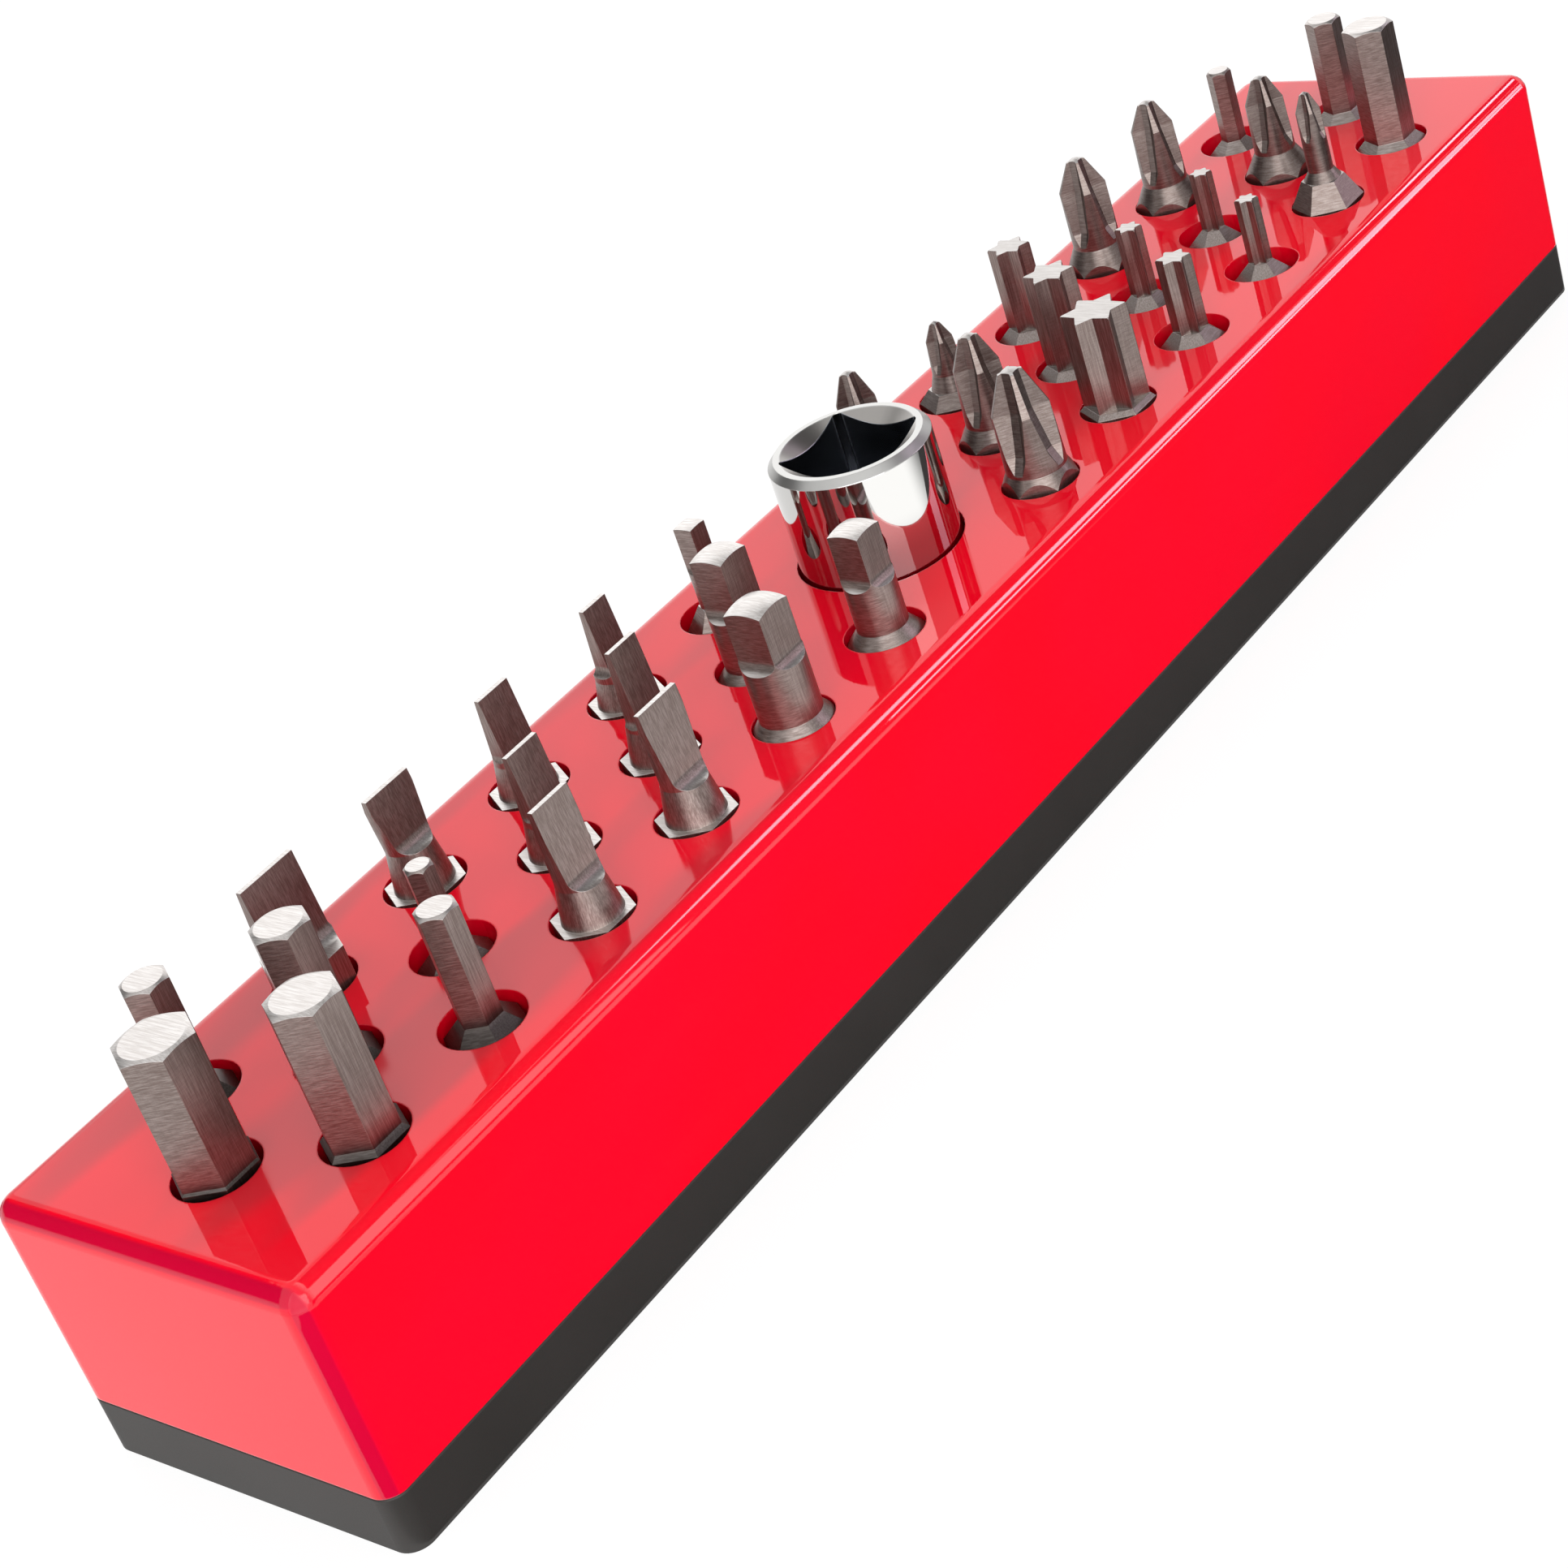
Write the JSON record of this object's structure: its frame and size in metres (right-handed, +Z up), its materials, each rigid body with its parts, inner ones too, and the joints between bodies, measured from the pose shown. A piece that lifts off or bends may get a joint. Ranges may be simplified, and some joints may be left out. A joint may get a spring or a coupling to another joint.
{
  "type": "magnetic bit holder",
  "caption": "Long bench block that holds hex-shank driver bits upright in three rows of round holes over magnet strips, with a square-drive adapter in the middle.",
  "frame": {"origin": "middle of the underside, on the bench", "axes": "+X along the block, -Y is the front long face, +Z up"},
  "size_m": [0.198, 0.0352, 0.0387],
  "materials": {
    "red_plastic": "glossy moulded red plastic",
    "dark_plastic": "near-matte dark grey plastic",
    "magnet": "dull dark sintered magnet",
    "chrome": "mirror chrome plate",
    "bit_steel": "brushed warm-grey tool steel"
  },
  "bodies": {
    "root": {"base_plate": "dark_plastic", "cross_bit_back_10": "bit_steel", "cross_bit_back_11": "bit_steel", "cross_bit_back_7": "bit_steel", "cross_bit_back_8": "bit_steel", "cross_bit_front_11": "bit_steel", "cross_bit_front_7": "bit_steel", "cross_bit_middle_11": "bit_steel", "cross_bit_middle_7": "bit_steel", "drive_adapter": "chrome", "hex_bit_back_1": "bit_steel", "hex_bit_back_12": "bit_steel", "hex_bit_front_1": "bit_steel", "hex_bit_front_12": "bit_steel", "hex_bit_front_2": "bit_steel", "hex_bit_middle_1": "bit_steel", "hex_bit_middle_12": "bit_steel", "hex_bit_middle_2": "bit_steel", "hex_bit_middle_3": "bit_steel", "holder_body": "red_plastic", "magnet_strip_back": "magnet", "magnet_strip_front": "magnet", "magnet_strip_middle": "magnet", "slotted_bit_back_2": "bit_steel", "slotted_bit_back_3": "bit_steel", "slotted_bit_back_4": "bit_steel", "slotted_bit_back_5": "bit_steel", "slotted_bit_front_3": "bit_steel", "slotted_bit_front_4": "bit_steel", "slotted_bit_middle_4": "bit_steel", "slotted_bit_middle_5": "bit_steel", "square_bit_back_6": "bit_steel", "square_bit_front_5": "bit_steel", "square_bit_front_6": "bit_steel", "square_bit_middle_6": "bit_steel", "star_bit_back_9": "bit_steel", "star_bit_front_10": "bit_steel", "star_bit_front_8": "bit_steel", "star_bit_front_9": "bit_steel", "star_bit_middle_10": "bit_steel", "star_bit_middle_8": "bit_steel", "star_bit_middle_9": "bit_steel"}
  },
  "joints": []
}
